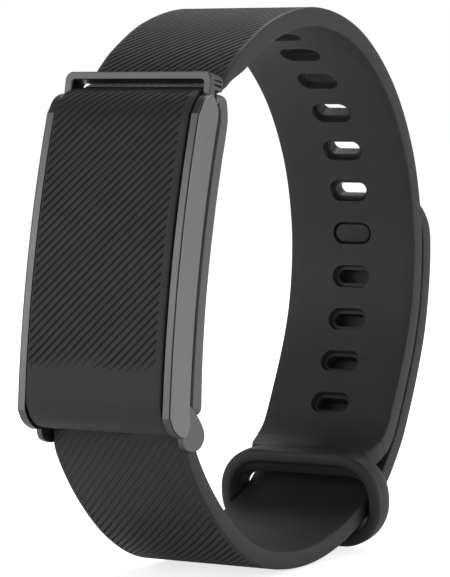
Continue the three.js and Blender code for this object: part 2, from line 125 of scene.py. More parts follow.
MOULDED = {"grain": 2600, "bump": 0.25, "spec": 0.35}
BRUSHED = {"metal": 1.0, "grain": 1500, "tint": 0.05, "rough_var": 0.05, "bump": 0.02}
UPRIGHT = {**BRUSHED, "stretch": (1, 1, 0.06)}       # brushed along Z
ACROSS = {**BRUSHED, "stretch": (0.06, 1, 1)}        # brushed along X
LOOKS = {                  # base colour, roughness, and what differs from make_mat's defaults
    "elastomer": ((0.022, 0.022, 0.023), 0.52, MOULDED),
    "ribbed_elastomer": ((0.029, 0.029, 0.03), 0.55, MOULDED),
    "gunmetal": ((0.208, 0.208, 0.21), 0.34, UPRIGHT),
    "front_gunmetal": ((0.14, 0.14, 0.141), 0.36, UPRIGHT),
    "loop_gunmetal": ((0.12, 0.12, 0.121), 0.36, ACROSS),
    "steel": ((0.42, 0.43, 0.44), 0.28,
              {"metal": 1.0, "grain": 1800, "stretch": (0.1, 1, 1), "bump": 0.03}),
    "case_polymer": ((0.016, 0.016, 0.018), 0.42, {"grain": 3000, "bump": 0.2}),
    "shell": ((0.13, 0.13, 0.132), 0.4,
              {"metal": 0.85, "grain": 2200, "tint": 0.06, "rough_var": 0.05, "bump": 0.04}),
    # near black: painted shade in the rails' seam grooves and in the gaps beside the rails
    "seam_and_gap_shade": ((0.02, 0.02, 0.02), 0.6, {"grain": 2000, "spec": 0.2}),
    "seal": ((0.008, 0.008, 0.008), 0.7, {"grain": 2000, "bump": 0.2}),
    "cell_pouch": ((0.36, 0.37, 0.39), 0.36, {"metal": 0.7, "grain": 700, "bump": 0.3}),
    "board": ((0.012, 0.07, 0.035), 0.45, {"grain": 1600, "tint": 0.3, "bump": 0.2}),
    "chip": ((0.012, 0.012, 0.013), 0.5, {"grain": 3000, "bump": 0.15}),
    "contact": ((0.62, 0.43, 0.17), 0.25, {"metal": 1.0, "grain": 2500, "bump": 0.03}),
    "window": ((0.005, 0.006, 0.008), 0.07,
               {"grain": 300, "rough_var": 0.02, "bump": 0.0, "coat": 0.6}),
    "led": ((0.55, 0.66, 0.5), 0.2, {"grain": 2500, "bump": 0.05}),
}
MATS = {name: make_mat(name, base, rough, **more) for name, (base, rough, more) in LOOKS.items()}
RUBBER = MATS["ribbed_elastomer"]

slot_of = {s["node"]: s["material_slot"] for s in frame["record"]["subparts"]}
for node, obj in frame["nodes"].items():
    obj.data.materials.clear()
    obj.data.materials.append(MATS[slot_of[node]])


# ---- mesh helpers ------------------------------------------------------------------------
MERGE = 2e-6                              # metres


def new_obj(name, verts, faces, mat, angle=35.0):
    me = bpy.data.meshes.new(name)
    me.from_pydata([tuple(c * MM for c in v) for v in verts], [], faces)
    bm = bmesh.new()
    bm.from_mesh(me)
    bmesh.ops.remove_doubles(bm, verts=bm.verts, dist=MERGE)
    bmesh.ops.dissolve_degenerate(bm, edges=bm.edges, dist=MERGE)
    bmesh.ops.recalc_face_normals(bm, faces=bm.faces)
    bm.to_mesh(me)
    bm.free()
    obj = bpy.data.objects.new(name, me)
    bpy.context.scene.collection.objects.link(obj)
    obj.data.materials.append(mat)
    smooth(obj, angle)
    return obj


def smooth(obj, angle):
    """Smooth shading, with a sharp edge wherever two faces meet at more than this angle."""
    me = obj.data
    bm = bmesh.new()
    bm.from_mesh(me)
    limit = math.radians(angle)
    for f in bm.faces:
        f.smooth = True
    for e in bm.edges:
        e.smooth = not (len(e.link_faces) == 2 and e.calc_face_angle(0.0) > limit)
    bm.to_mesh(me)
    bm.free()


def apply_modifiers(obj):
    bpy.context.view_layer.update()
    graph = bpy.context.evaluated_depsgraph_get()
    me = bpy.data.meshes.new_from_object(obj.evaluated_get(graph))
    obj.modifiers.clear()
    old = obj.data
    obj.data = me
    bpy.data.meshes.remove(old)


def boolean(obj, other, op):
    mod = obj.modifiers.new("cut", "BOOLEAN")
    mod.operation = op
    mod.solver = "MANIFOLD"
    mod.object = other
    apply_modifiers(obj)
    bpy.data.objects.remove(other)


def tube_rows(rows):
    """Verts and faces of a loft: rows are equal-length closed loops, capped at both ends."""
    n = len(rows[0])
    verts = [v for row in rows for v in row]
    faces = []
    for i in range(len(rows) - 1):
        for j in range(n):
            k = (j + 1) % n
            faces.append((i * n + j, i * n + k, (i + 1) * n + k, (i + 1) * n + j))
    faces.append(tuple(range(n)))
    faces.append(tuple((len(rows) - 1) * n + j for j in reversed(range(n))))
    return verts, faces


def ring_rows(rows):
    """Verts and faces of a ring: as tube_rows, but the last loop joins the first."""
    n = len(rows[0])
    verts = [v for row in rows for v in row]
    faces = []
    for i in range(len(rows)):
        i2 = (i + 1) % len(rows)
        for j in range(n):
            k = (j + 1) % n
            faces.append((i * n + j, i * n + k, i2 * n + k, i2 * n + j))
    return verts, faces


def mirrored(verts):
    return [(-x, y, z) for x, y, z in verts]


# ---- curves and outlines -----------------------------------------------------------------
def clamp(x):
    return min(1.0, max(0.0, x))


def ramp(s, start, end):
    """0 at the station start and before it, 1 at end and after it, straight between them."""
    return clamp((s - start) / (end - start))


def smoothstep(x):
    k = clamp(x)
    return k * k * (3 - 2 * k)


def quarter_round(x):
    """Rises from 0 to 1 as a quarter circle does."""
    return math.sqrt(1 - (1 - clamp(x)) ** 2)


def pod_to_band(depth, height):
    c, s = math.cos(TILT), math.sin(TILT)
    return FACE_Y + depth * c + height * s, FACE_Z - depth * s + height * c


def on_arc(r, z):
    return R_RIDGE - math.sqrt(r * r - z * z), z


def arc_line(r, z0, z1, n):
    return [on_arc(r, z0 + (z1 - z0) * i / n) for i in range(n + 1)]


def quarter(cx, cy, r, start, n):
    """Quarter circle of n steps from the start angle in degrees."""
    turn = [math.radians(start + 90 * i / n) for i in range(n + 1)]
    return [(cx + r * math.cos(a), cy + r * math.sin(a)) for a in turn]


def circle(cx, cy, r, step):
    turn = [math.radians(a) for a in range(0, 360, step)]
    return [(cx + r * math.cos(a), cy + r * math.sin(a)) for a in turn]


def rounded_rect(w, h, r, n):
    """Outline of half width w and half height h, with n steps round each corner."""
    pts = []
    for sx, sy, start in ((1, 1, 0), (-1, 1, 90), (-1, -1, 180), (1, -1, 270)):
        pts += quarter(sx * (w - r), sy * (h - r), r, start, n)
    return pts


def outward(pts):
    """Unit normals of a closed outline, pointing out of it."""
    nxt, prv = np.roll(pts, -1, 0), np.roll(pts, 1, 0)
    t = nxt - prv
    t /= np.linalg.norm(t, axis=1)[:, None]
    n = np.stack([t[:, 1], -t[:, 0]], 1)
    twice_area = np.sum(pts[:, 0] * nxt[:, 1] - nxt[:, 0] * pts[:, 1])
    return -n if twice_area < 0 else n


def shrink(outline, d):
    pts = np.array(outline, float)
    return pts - outward(pts) * d


class Path:
    """Uniform Catmull-Rom through the points, measured by arc length."""

    def __init__(self, pts, per=60):
        p = [np.array(q, float) for q in pts]
        out = []
        for i in range(len(p) - 1):
            p0, p1, p2 = p[max(i - 1, 0)], p[i], p[i + 1]
            p3 = p[min(i + 2, len(p) - 1)]
            v0, v1 = (p2 - p0) / 2, (p3 - p1) / 2
            for k in range(per):
                t = k / per
                out.append((2 * p1 - 2 * p2 + v0 + v1) * t ** 3
                           + (-3 * p1 + 3 * p2 - 2 * v0 - v1) * t ** 2 + v0 * t + p1)
        out.append(p[-1])
        self.p = np.array(out)
        d = np.linalg.norm(np.diff(self.p, axis=0), axis=1)
        self.s = np.concatenate([[0], np.cumsum(d)])
        self.length = float(self.s[-1])

    def at(self, s):
        s = min(max(s, 0.0), self.length)
        return np.array([np.interp(s, self.s, self.p[:, 0]), np.interp(s, self.s, self.p[:, 1])])

    def frame(self, s, reach=0.15):
        """Point, tangent and left normal, the tangent taken over twice the reach."""
        a, b = self.at(s - reach), self.at(s + reach)
        t = (b - a) / np.linalg.norm(b - a)
        return self.at(s), t, np.array([-t[1], t[0]])


def smooth_line(points, n=24):
    p = Path(points)
    return [tuple(p.at(p.length * i / n)) for i in range(n + 1)]


# ---- where the straps run ----------------------------------------------------------------
upper_bar, lower_bar = pod_to_band(*PIN), pod_to_band(*EAR)
upper = Path([upper_bar, (-19.55, 56.45), (-16.65, 58.4), (-8.05, 62.8), (2.25, 64.6),
              (12.55, 62.4), (20.95, 56.4), (26.35, 48.3), (28.75, 39.5), (28.65, 31.4),
              (26.85, 24.3), (23.15, 16.5), (20.95, 13.0), (17.9, 11.1), (15.6, 10.65)])
HOLE_S = [FIRST_HOLE + i * HOLE_PITCH for i in range(HOLES)]
STUD_S = HOLE_S[STUD_HOLE - 1]
TAIL_TIP = STUD_S - 4.55
TAIL_OFFSET = T_UPPER / 2 + LAYER_GAP + T_LOWER / 2


def tail_point(s):
    """The tail lies on the outside of the holed strap, beside its station s."""
    p, _, n = upper.frame(s)
    return tuple(p + n * TAIL_OFFSET)


lower = Path([lower_bar, (-26.1, 15.5), (-22.15, 10.3), (-16.65, 5.5), (-10.45, 2.35),
              (-3.95, 1.17), (2.35, 1.22), (8.3, 2.35), (13.15, 4.1), (16.85, 5.8),
              (20.45, 8.7), (23.45, 12.2)]
             + [tail_point(TAIL_TIP + k) for k in (28, 22, 16, 10, 5, 0)])
CROWN_S = 0.25 * upper.length             # the three places where the straps flex
BOTTOM_S = 0.327 * lower.length
TAIL_S = 0.636 * lower.length


def at(path, s):
    p = path.at(s)
    return (0, p[0] * MM, p[1] * MM)


# ---- ribbed bands ------------------------------------------------------------------------
RIB_PITCH = 1.045                         # along the strap, ribs at 45 degrees
RIB_DEPTH = 0.2
GROOVE = 0.42                             # share of the pitch a groove takes
PHASES = (0.0, 0.5 - GROOVE / 2, 0.5 - GROOVE * 0.3, 0.5 - GROOVE * 0.12, 0.5 + GROOVE * 0.12,
          0.5 + GROOVE * 0.3, 0.5 + GROOVE / 2)
DEPTHS = (0.0, 0.0, -0.7, -1.0, -1.0, -0.7, 0.0)
RUNOUT = 0.18                             # across the band, where a groove comes up to its end
COLUMNS, INNER_COLUMNS = 15, 13
EDGE_TURN = [math.radians(a) for a in (90, 68, 45, 22, 0)]
EDGE_SHARE = 0.98                         # of the half thickness that rounded edges may take
RIM_ALONG, RIM_ACROSS = 1.75, 3.4         # no ribs this near to the middle of a hole
BAND_ANGLE = 24                           # edges sharper than this stay sharp
SLOT_STEPS = 12                           # round each end of a hole


def band_section(hw, edge, margin, right):
    """Points round a band as (x, surface, inset, ribbed): the surface is 1 for the outer face and
    -1 for the inner one, and the inset is the distance in from it."""
    first, last = -hw + margin + RUNOUT, hw - right - RUNOUT
    run = np.linspace(first, last, COLUMNS)[1:-1]
    xs = [-hw + edge, -hw + margin, first, *run, last, hw - right, hw - edge]
    inner_x = np.linspace(hw - edge, -hw + edge, INNER_COLUMNS)[1:-1]
    section = [(x, 1, 0.0, first - 0.01 <= x <= last + 0.01) for x in xs]

    def corner(side, surface, turn):
        for a in turn:
            x = side * (hw - edge + edge * math.cos(a))
            section.append((x, surface, edge * (1 - math.sin(a)), False))

    corner(1, 1, EDGE_TURN[1:])
    corner(1, -1, EDGE_TURN[::-1])
    section.extend((x, -1, 0.0, False) for x in inner_x)
    corner(-1, -1, EDGE_TURN)
    corner(-1, 1, EDGE_TURN[:0:-1])
    return section


def strap(name, path, s0, s1, outer, inner, side, mat, slope=1.0, ribs=None, hw=STRAP_HW,
          edge=0.4, margin=0.75, right=None, width=None, deep=RIB_DEPTH, rims=()):
    """Band between the stations s0 and s1 of a path. outer(s) and inner(s) are its surfaces'
    distances from the path, and side is 1 where the path's left normal faces out. Rows of points
    follow the ribs, so every groove is real geometry. edge is the radius of the band's edges,
    margin the plain strip beside the ribs (right, where it differs on that side), width(s) scales
    the band across, deep is the grooves' depth or a function of s, and rims are the holes."""
    section = band_section(hw, edge, margin, margin if right is None else right)
    reach = abs(slope) * hw
    k0 = math.floor((s0 - reach) / RIB_PITCH) - 1
    k1 = math.ceil((s1 + reach) / RIB_PITCH) + 1
    rows = []
    for k in range(k0, k1 + 1):
        for phase, depth in zip(PHASES, DEPTHS):
            base = (k + phase) * RIB_PITCH
            loop = []
            for x, surface, inset, ribbed in section:
                s = min(max(base + slope * x, s0), s1)
                p, _, n = path.frame(s)
                top, under = outer(s), inner(s)
                squeeze = min(1.0, (top + under) / 2 / edge * EDGE_SHARE)
                h = top - inset * squeeze if surface > 0 else -under + inset * squeeze
                if ribbed and ribs and ribs[0] < s < ribs[1]:
                    on_rim = abs(x) < RIM_ACROSS and any(abs(s - c) < RIM_ALONG for c in rims)
                    if not on_rim:
                        h += (deep(s) if callable(deep) else deep) * depth
                q = p + n * h * side
                loop.append((x * (width(s) if width else 1.0), q[0], q[1]))
            rows.append(loop)
    verts, faces = tube_rows(rows)
    return new_obj(name, verts, faces, mat, angle=BAND_ANGLE)


def slot_cutter(length, height, d0, d1, s, flare=0.0):
    """Stadium prism through the holed strap at station s, wider by the flare at its d0 end."""
    p, tan, n = upper.frame(s)
    half = length / 2 - height / 2
    rows = []
    for d, grow in ((d0, flare), (d1, 0.0)):
        r = height / 2 + grow
        loop = []
        for end in (1, -1):
            for i in range(SLOT_STEPS + 1):
                a = math.radians(-90 + 180 * i / SLOT_STEPS)
                q = p + tan * (end * r * math.sin(a)) + n * d
                loop.append((end * (half + r * math.cos(a)), q[0], q[1]))
        rows.append(loop)
    return new_obj("cutter", *tube_rows(rows), MATS["elastomer"])


# ---- straps ------------------------------------------------------------------------------
ROOT_T = 1.0                              # the holed strap is thin inside the top loop
LOOP_WAIST = 0.025                        # share by which strap and pad narrow in the loop
TIP_TAPER, TIP_ROUND = 4.2, 6.0           # the tail thins and narrows over these lengths
TIP_T, TIP_WIDTH = 0.15, 0.62             # thickness and width left at its tip, as shares
UPPER_RIBS, TAIL_RIBS = 0.3, 0.09         # depths of the grooves
ROOT_RIBS, WRIST_RIBS = 0.09, 0.22
UPPER_START, UPPER_STOP = 1.6, 4.3        # from the pin, and before the path's end
UPPER_PLAIN, TAIL_PLAIN = 9, 4.5          # no ribs this near to the path's end
BAR_R, BAR_CHAMFER = 1.3, 0.25            # the barrel round the lower spring bar
HOLE_REACH, RECESS_START, RECESS_FLARE = 3, -1.4, 0.2


def half_upper(s):
    return (ROOT_T + (T_UPPER - ROOT_T) * smoothstep(ramp(s, 3, 9))) / 2


def root_width(s):
    """The strap narrows a little where it comes out of the top loop."""
    return 1 - LOOP_WAIST * ramp(s, 3.8, 2.4)


def half_lower(s):
    return T_LOWER / 2


def lower_deep(s):
    """The ribs are shallow beside the cradle and deepen under the wrist."""
    return ROOT_RIBS + (WRIST_RIBS - ROOT_RIBS) * smoothstep(ramp(s, 6, 18))


def tail_outer(s):
    rise = quarter_round((lower.length - s) / TIP_TAPER)
    return T_LOWER * (rise * (1 - TIP_T) + TIP_T) - T_LOWER / 2


def tail_width(s):
    return TIP_WIDTH + (1 - TIP_WIDTH) * quarter_round((lower.length - s) / TIP_ROUND)


def holed_strap():
    up = strap("upper_strap", upper, UPPER_START, upper.length - UPPER_STOP, half_upper,
               half_upper, 1, RUBBER, slope=1.0, ribs=(2.0, upper.length - UPPER_PLAIN),
               deep=UPPER_RIBS, edge=0.25, margin=0.5, width=root_width, rims=HOLE_S)
    recess_floor = -T_UPPER / 2 + RECESS_D
    for s in HOLE_S:
        hole = slot_cutter(HOLE_L, HOLE_H, -HOLE_REACH, HOLE_REACH, s)
        boolean(up, hole, "DIFFERENCE")
        recess = slot_cutter(RECESS_L, RECESS_H, RECESS_START, recess_floor, s, RECESS_FLARE)
        boolean(up, recess, "DIFFERENCE")
    smooth(up, BAND_ANGLE)
    at(upper, CROWN_S - 8)
    at(upper, CROWN_S + 8)
    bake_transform(up)
    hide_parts("upper_strap_root")


def lower_strap():
    low = strap("lower_strap", lower, 0.0, TAIL_S, half_lower, half_lower, -1, RUBBER,
                slope=-1.0, ribs=(0.5, TAIL_S + 1), deep=lower_deep, edge=0.25, margin=0.45)
    ends = STRAP_HW - BAR_CHAMFER
    rows = [[(x, *q) for q in circle(*lower_bar, r, 10)]
            for x, r in ((-STRAP_HW, BAR_R - BAR_CHAMFER), (-ends, BAR_R), (ends, BAR_R),
                         (STRAP_HW, BAR_R - BAR_CHAMFER))]
    boolean(low, new_obj("barrel", *tube_rows(rows), RUBBER), "UNION")
    smooth(low, BAND_ANGLE)
    at(lower, BOTTOM_S - 13)
    at(lower, BOTTOM_S + 13)
    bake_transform(low)
    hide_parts("lower_strap_root", "lower_strap_mid")


def strap_tail():
    tail = strap("lower_strap_end", lower, TAIL_S, lower.length, tail_outer, half_lower, -1,
                 RUBBER, slope=-1.0, ribs=(0, lower.length - TAIL_PLAIN), width=tail_width,
                 deep=TAIL_RIBS, edge=0.25, margin=0.45)
    at(lower, TAIL_S)
    at(lower, TAIL_S + 9)
    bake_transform(tail)
    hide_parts("lower_strap_tail")


# ---- stud --------------------------------------------------------------------------------
STUD_HEAD, STUD_NECK = (2.4, 1.13, 1.12), (1.9, 0.6, 0.58)    # half length, half height, radius
HEAD_PROFILE = ((-0.2, 0.97), (-0.06, 0.94), (0.0, 0.86), (0.0, 0.48))   # (growth, depth)
NECK_START, NECK_GAP = -0.45, 0.02


def stud_head():
    """The head sits in the recess, towards the wrist, and the neck goes out to the tail."""
    p, t, n = upper.frame(STUD_S)
    rows = []
    for grow, depth in HEAD_PROFILE:
        pts = rounded_rect(*[size + grow for size in STUD_HEAD], 8)
        rows.append([(x, *(p + t * y - n * depth)) for x, y in pts])
    neck = rounded_rect(*STUD_NECK, 8)
    for out in (NECK_START, T_UPPER / 2 + LAYER_GAP - NECK_GAP):
        rows.append([(x, *(p + t * y + n * out)) for x, y in neck])
    head = new_obj("stud_head", *tube_rows(rows), MATS["elastomer"], angle=40)
    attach(head, "lower_tail")
    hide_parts("stud")


# ---- keeper loop: a rounded ring grown from the end of the holed strap -----------------------
KEEPER_OUTER, KEEPER_WALL = (11.2, 5.85, 5.5), 1.25    # half width, half height, radius
KEEPER_HOLE = (9.5, 4.3, 4.0)                          # what stays clear of the strap's end
STUB_START, STUB_END = 5.2, 0.8                        # before the holed strap's path ends
STUB_SKIN, STUB_WAIST = 0.02, 0.09                     # how far it thins, and narrows
THICKEN_NEAR, THICKEN_FAR = 0.62, 0.42                 # the long walls, near the wrist and far
CLEAR_REACH = 2.6
VOXEL, SOFTEN, SOFTEN_STEPS = 0.15, 0.5, 9             # remesh and rounding of the moulding
RING_SECTION = (           # (along the strap, in from the ring's outside)
    (-1.45, 0.3), (-1.28, 0.06), (-0.95, -0.02), (-0.72, 0.06), (-0.5, 0.0), (0.2, -0.02),
    (1.1, 0.08), (1.9, 0.35), (2.5, 0.8), (2.7, 1.3), (2.6, 1.95), (2.1, 2.2),
    (1.0, 2.05), (0.0, 1.9), (-0.9, 1.7), (-1.3, 1.55), (-1.52, 1.3), (-1.55, 0.65))


def stub_width(s):
    """The strap draws in where it runs into the ring, so its corners stay inside the ring."""
    return 1 - STUB_WAIST * ramp(s, upper.length - 4.4, upper.length - 0.8) ** 3


def stub_half(s):
    return T_UPPER / 2 - STUB_SKIN


def prism(outline, d0, d1, centre, u, v):
    """Solid with its outline in (x, u) and its length from d0 to d1 along v."""
    rows = [[(x, *(np.array(centre) + u * y + v * d)) for x, y in outline] for d in (d0, d1)]
    return new_obj("prism", *tube_rows(rows), MATS["elastomer"])


def keeper():
    k = math.radians(KEEPER_TILT)
    out = np.array([math.cos(k), math.sin(k)])           # away from the wrist
    fwd = np.array([-out[1], out[0]])                    # along the strap
    centre = np.array(KEEPER_C)
    line = rounded_rect(*KEEPER_OUTER, 16)
    inner_line = rounded_rect(*[size - KEEPER_WALL for size in KEEPER_OUTER], 16)
    rows = []
    for (ox, oy), (ix, iy) in zip(line, inner_line):
        d = np.array([ix - ox, iy - oy])
        d /= np.linalg.norm(d)
        loop = []
        for along, inward in RING_SECTION:
            if along > -0.5 and inward > 1:
                inward *= 1 + (THICKEN_NEAR if d[1] > 0 else THICKEN_FAR) * d[1] ** 2
            q = centre + out * (oy + d[1] * inward) + fwd * along
            loop.append((ox + d[0] * inward, q[0], q[1]))
        rows.append(loop)
    ring = new_obj("keeper_loop", *ring_rows(rows), RUBBER)
    stub = strap("stub", upper, upper.length - STUB_START, upper.length - STUB_END, stub_half,
                 stub_half, 1, RUBBER, slope=0.0, hw=STRAP_HW - STUB_SKIN, edge=0.25,
                 width=stub_width)
    opening = prism(rounded_rect(*KEEPER_HOLE, 10), -CLEAR_REACH, CLEAR_REACH, centre, out, fwd)
    boolean(stub, opening, "DIFFERENCE")
    boolean(ring, stub, "UNION")
    for kind, settings in (("REMESH", {"mode": "VOXEL", "voxel_size": VOXEL * MM}),
                           ("SMOOTH", {"factor": SOFTEN, "iterations": SOFTEN_STEPS})):
        mod = ring.modifiers.new(kind, kind)
        for key, value in settings.items():
            setattr(mod, key, value)
    apply_modifiers(ring)
    smooth(ring, 180)
    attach(ring, "upper_end")
    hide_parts("upper_strap_holes")


# ---- metal cradle ------------------------------------------------------------------------
PLATE_EDGE = ((0.0, 1.0), (0.3, 0.3), (1.0, 0.0))      # (across, inset) in bevels, from a face
LEAF_TOP = [(1.46, 17.8), (1.83, 18.57), (2.47, 19.24), (3.3, 19.66), (3.75, 19.66),
            (4.47, 19.16), (5.14, 18.3), (5.3, 17.2)]
LEAF_BOTTOM = [(5.12, -15.6), (5.45, -16.6), (5.2, -17.7), (4.75, -18.2), (4.1, -18.36),
               (3.2, -18.2), (2.4, -17.88), (1.75, -17.4)]
EAR_OUTLINE = [(3.9, -14.6), (4.0, -16.0), (4.6, -18.2), (5.1, -19.15), (5.8, -19.5),
               (6.87, -19.6), (7.81, -19.45), (8.75, -18.95), (9.35, -18.0), (9.2, -17.2),
               (8.69, -16.55), (8.0, -15.95), (7.0, -15.3), (5.2, -14.4)]
RAIL_IN, RAIL_OUT = 8.95, 10.0                         # the rails' inner and outer faces
LOOP_C = 20.15                                         # height of the top loop's middle
LOOP_DEPTH, LOOP_BEVEL = (3.55, 6.25), 0.12
LOOP_OUTER, LOOP_WINDOW = (9.6, 2.1, 0.95), (8.65, 1.18, 0.4)
# cut from each end of the loop, as (x, depth, height) ranges: a relief behind, and two slots
LOOP_CUTS = (((8.5, 9.8), (4.6, 6.5), (17.5, 20.35)),
             ((9.4, 9.8), (4.3, 5.95), (20.75, 21.0)),
             ((9.4, 9.8), (4.3, 5.95), (21.3, 21.5)))


def plate(outline, x0, x1, bevel):
    """A plate with its outline in the pod's (depth, height) plane, rounded at its edges."""
    pts = np.array(outline, float)
    n = outward(pts)
    near = [(x0 + across * bevel, inset) for across, inset in PLATE_EDGE]
    far = [(x1 - across * bevel, inset) for across, inset in reversed(PLATE_EDGE)]
    rows = []
    for x, inset in near + far:
        rows.append([(x, *pod_to_band(a, b)) for a, b in pts - n * inset * bevel])
    return tube_rows(rows)


def leaf():
    return (arc_line(R_RIDGE, -16.5, 17.1, 30) + smooth_line(LEAF_TOP)
            + arc_line(R_LEAF_BACK, 17.0, -15.4, 30) + smooth_line(LEAF_BOTTOM))


def rails():
    """Each rail is a plate and a cover with a seam groove between them, painted dark as shade, a
    strip of painted shade along its back, and an ear.
    """
    # outline of a near-black strip of painted shade just behind the rail's back edge
    back = (arc_line(R_LEAF_BACK + 0.3, -15.2, 17.0, 24)
            + arc_line(R_LEAF_BACK - 0.4, 17.0, -15.2, 24))
    ear = smooth_line(EAR_OUTLINE, 40)
    pieces = (            # name, outline, inner and outer face, bevel, material
        ("rail_plate", leaf(), RAIL_IN, 9.84, 0.07, "front_gunmetal"),
        # a real groove between plate and cover, its near-black colour painted shade
        ("rail_seam_shade", shrink(leaf(), 0.05), 9.7, 9.88, 0.02, "seam_and_gap_shade"),
        # painted shade of the gap between the rail and the pod
        ("rail_back_shade", back, RAIL_IN, 9.6, 0.02, "seam_and_gap_shade"),
        ("rail_cover", shrink(leaf(), 0.1), 9.87, RAIL_OUT, 0.06, "gunmetal"),
        ("ear_plate", ear, RAIL_IN, 9.62, 0.1, "front_gunmetal"))
    for side, word in SIDES:
        for name, outline, x0, x1, bevel, mat in pieces:
            verts, faces = plate(outline, x0, x1, bevel)
            if side < 0:
                verts = mirrored(verts)
            o = new_obj(f"{name}_{word}", verts, faces, MATS[mat], angle=16)
            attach(o, "cradle")
            if name == "rail_plate":
                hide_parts(f"rail_{word}")


def pod_box(x0, x1, y0, y1, z0, z1):
    rows = [[(x, *pod_to_band(a, b)) for a, b in ((y0, z0), (y1, z0), (y1, z1), (y0, z1))]
            for x in (x0, x1)]
    return new_obj("cut", *tube_rows(rows), MATS["seam_and_gap_shade"])


def top_loop():
    y0, y1 = LOOP_DEPTH
    b = LOOP_BEVEL
    rows = []
    for (ox, oz), (ix, iz) in zip(rounded_rect(*LOOP_OUTER, 8), rounded_rect(*LOOP_WINDOW, 8)):
        ux, uz = ox - ix, oz - iz
        d = math.hypot(ux, uz)
        ux, uz = ux / d * b, uz / d * b
        outside = [(ox - ux, y0, oz - uz), (ox, y0 + b, oz), (ox, y1 - b, oz),
                   (ox - ux, y1, oz - uz)]
        inside = [(ix + ux, y1, iz + uz), (ix, y1 - b, iz), (ix, y0 + b, iz),
                  (ix + ux, y0, iz + uz)]
        rows.append([(x, *pod_to_band(y, LOOP_C + z)) for x, y, z in outside + inside])
    o = new_obj("loop_frame", *ring_rows(rows), MATS["loop_gunmetal"], angle=20)
    for side in (-1, 1):
        for across, depth, height in LOOP_CUTS:
            x0, x1 = sorted(side * x for x in across)
            boolean(o, pod_box(x0, x1, *depth, *height), "DIFFERENCE")
    smooth(o, 20)
    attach(o, "cradle")
    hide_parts("top_loop")


# ---- face pad ----------------------------------------------------------------------------
PAD_HALF, PAD_BACK = 0.65, 1.3            # in front of the pad's path, and behind it
PAD_END = 0.45                            # share of its thickness left in the top loop
PAD_HW, PAD_MARGIN, PAD_EDGE, PAD_RIGHT = 8.75, 0.16, 0.14, 0.8
LIP_C, LIP_R = (4.4, -14.2), 3.25         # the lower lip turns round this point
RIB_START, LIP_JOIN = 8.8, 8.0
pad_pts = [(4.7, -17.45)]
for a in (270, 250, 232, 214, 197):
    turn = math.radians(a)
    pad_pts.append((LIP_C[0] + LIP_R * math.cos(turn), LIP_C[1] + LIP_R * math.sin(turn)))
pad_pts += arc_line(R_PAD, -13.4, 16.8, 9)
pad_pts += [(2.05, 18.05), (2.5, 18.97), (3.22, 19.7), (4.4, 20.25)]
pad_path = Path([pod_to_band(*q) for q in pad_pts])


def pad_half(s):
    end = pad_path.length
    return PAD_HALF * (PAD_END + (1 - PAD_END) * ramp(s, end - 0.4, end - 3.4))


def pad_inner(s):
    """The pad is thick over its arched middle and thins at the lip and under the loop."""
    end = pad_path.length
    k = smoothstep(min(ramp(s, 6.0, 7.6), ramp(s, end - 4.2, end - 5.8)))
    return pad_half(s) + (PAD_BACK - PAD_HALF) * k


def pad_width(s):
    """The pad narrows a little where it goes into the top loop."""
    return 1 - LOOP_WAIST * ramp(s, pad_path.length - 2.4, pad_path.length - 1.2)


def face_pad():
    for name, s0, s1, slope, ribs in (("pad_lip", 0.0, LIP_JOIN, 0.0, None),
                                      ("pad_face", LIP_JOIN, pad_path.length, 1.0,
                                       (RIB_START, pad_path.length - 0.2))):
        pad = strap(name, pad_path, s0, s1, pad_half, pad_inner, 1, RUBBER, slope=slope,
                    ribs=ribs, hw=PAD_HW, margin=PAD_MARGIN, edge=PAD_EDGE, right=PAD_RIGHT,
                    width=pad_width)
        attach(pad, "face_flap")
        if name == "pad_face":
            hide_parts("face_pad")


# ---- pod shell ---------------------------------------------------------------------------
SHELL_HW = 8.85
SHELL_LOW, SHELL_HIGH = -15.4, 20.3       # heights of its two ends
END_R_LOW, END_R_HIGH = 1.1, 0.6
END_ANGLES = (0, 18, 36, 54, 72, 90)
SIDE_SHARE, FRONT_SHARE, BACK_SHARE = 0.6, 0.2, 0.4    # of the ends' rounding
MIDDLE_TOP, MIDDLE_STEPS = 16.9, 18
BACK_LIFT = 0.0018                        # how fast the back's lower half leaves its arc
BACK_R, FRONT_R = 2.0, 0.2                # radii of its long edges
NECK_Z, NECK_DEPTH = 17.0, 6.45           # above NECK_Z its front steps back behind the loop
NECK_STEPS = [17.2, 17.35, 17.5, 17.9, 18.3, 18.7, 19.1, 19.4]
SHOULDER_Z = (15.0, 16.0, 17.0, 17.7, 18.25, 18.75, 19.5, 20.0, 20.4)
SHOULDER_DEPTH = (10.49, 10.62, 10.7, 10.7, 10.62, 10.43, 10.06, 9.6, 9.0)
POCKET_DEPTH = (9.3, 11.5)
# outline and x range of the strip of painted shade on the pod's sides
GAP_SHADE_FRONT_R, GAP_SHADE_BACK_R, GAP_SHADE_X = 129.9, 129.2, (8.6, 8.88)
GAP_SHADE_TOP = [(6.98, 18.3), (6.5, 19.0), (6.95, 19.4), (7.55, 18.5)]


def shell_front(z):
    front = on_arc(R_POD_FRONT, min(z, NECK_Z))[0]
    if z > NECK_Z:
        front = front + (NECK_DEPTH - front) * min(1.0, (z - NECK_Z) / 0.5)
    return front


def shell_back(z):
    if z < SHOULDER_Z[0]:
        return on_arc(R_POD_BACK, z)[0] + BACK_LIFT * min(z, 0.0) ** 2
    return float(np.interp(z, SHOULDER_Z, SHOULDER_DEPTH))


def end_cut(z):
    """How far the outline has drawn in at height z, for the rounding of the two ends."""
    near = max(0.0, 1 - (z - SHELL_LOW) / END_R_LOW, 1 - (SHELL_HIGH - z) / END_R_HIGH)
    r = END_R_LOW if z < 0 else END_R_HIGH
    return r * (1 - math.sqrt(max(0.0, 1 - near * near)))


